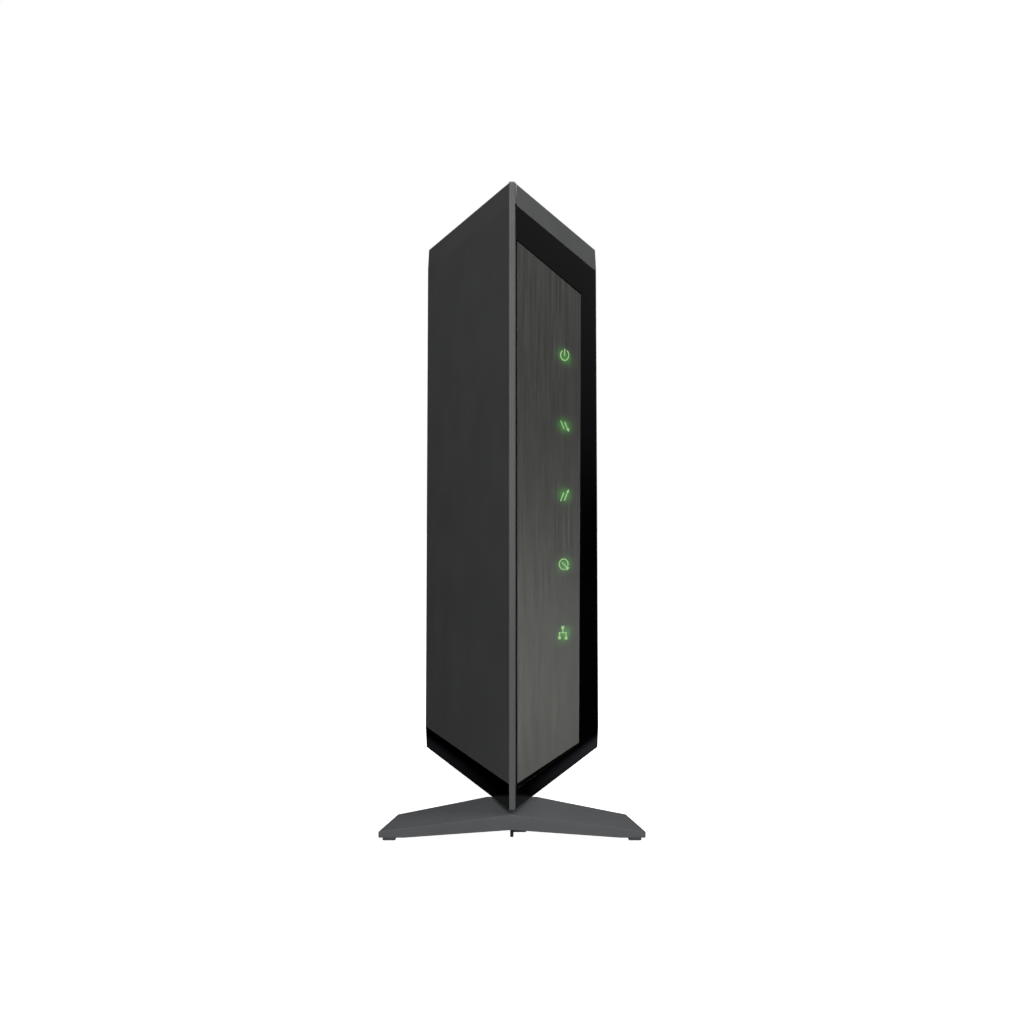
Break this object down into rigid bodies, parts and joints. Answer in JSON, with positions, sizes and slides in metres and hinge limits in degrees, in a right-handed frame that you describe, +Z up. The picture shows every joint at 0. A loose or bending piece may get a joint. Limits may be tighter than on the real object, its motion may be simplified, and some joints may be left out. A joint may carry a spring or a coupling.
{
  "type": "cable modem",
  "caption": "Tall wedge-shaped cable modem on a pull-off stand, with a lit metal panel, aerial, network and power sockets and two buttons on the back.",
  "frame": {"origin": "on the surface it stands on, under the middle of the whole object's box", "axes": "+Z up, -Y towards the ridge at the front, +Y towards the sockets at the back, +X to the viewer's right when facing the ridge"},
  "size_m": [0.0864, 0.138, 0.2134],
  "materials": {
    "housing_abs": "satin moulded dark grey",
    "gloss_black": "polished black",
    "brushed_metal": "brushed and dark anodised",
    "clear_acrylic": "clear, diffusing",
    "lamp_white": "moulded lamp body",
    "green_board": "solder mask",
    "back_abs": "fine moulded texture",
    "zinc_screw": "zinc plated",
    "nickel": "nickel plated",
    "white_insulator": "moulded",
    "gold_contact": "gold flashed",
    "tin_shield": "tin plated",
    "black_nylon": "moulded",
    "chip_epoxy": "moulded epoxy",
    "black_sleeve": "shrunk sleeve",
    "grey_silicone": "soft gap filler",
    "raw_aluminium": "extruded",
    "foot_rubber": "moulded"
  },
  "bodies": {
    "housing": {"left_shell": "housing_abs", "right_shell": "housing_abs", "gloss_frame": "gloss_black", "light_panel": "brushed_metal", "light_guides": "clear_acrylic", "status_lamps": "lamp_white", "light_board": "green_board", "rear_panel": "back_abs", "housing_screws": "zinc_screw", "board_screws": "zinc_screw", "coax_socket": "nickel", "coax_insulator": "white_insulator", "coax_contact": "gold_contact", "coax_nut": "nickel", "network_shield": "tin_shield", "network_lights": "clear_acrylic", "network_insert": "black_nylon", "network_contacts": "gold_contact", "inlet_body": "black_nylon", "inlet_pin": "nickel", "inlet_spring": "nickel", "power_switch": "black_nylon", "reset_switch": "black_nylon", "main_board": "green_board", "shield_frame": "tin_shield", "shield_cover": "tin_shield", "tuner_chip": "chip_epoxy", "network_transformer": "chip_epoxy", "memory_chip": "chip_epoxy", "flash_chip": "chip_epoxy", "clock_crystal": "tin_shield", "capacitors": "black_sleeve", "power_coils": "chip_epoxy", "modem_chip": "chip_epoxy", "thermal_pad": "grey_silicone", "heat_sink": "raw_aluminium"},
    "power_button": {"power_button": "back_abs"},
    "reset_button": {"reset_button": "white_insulator"},
    "stand": {"stand": "housing_abs", "rubber_feet": "foot_rubber"},
    "catch": {"stand_catch": "black_nylon"}
  },
  "joints": [
    {"name": "housing_lift", "type": "slide", "parent": "stand", "child": "housing", "axis": [0, 0, 1], "range_m": [0, 0.012]},
    {"name": "power_press", "type": "slide", "parent": "housing", "child": "power_button", "axis": [0, -1, 0], "range_m": [0, 0.002], "stiffness_N_per_m": 800},
    {"name": "reset_press", "type": "slide", "parent": "housing", "child": "reset_button", "axis": [0, -1, 0], "range_m": [0, 0.0006], "stiffness_N_per_m": 1500},
    {"name": "catch_release", "type": "slide", "parent": "stand", "child": "catch", "axis": [0, 1, 0], "range_m": [0, 0.0026], "stiffness_N_per_m": 500}
  ]
}
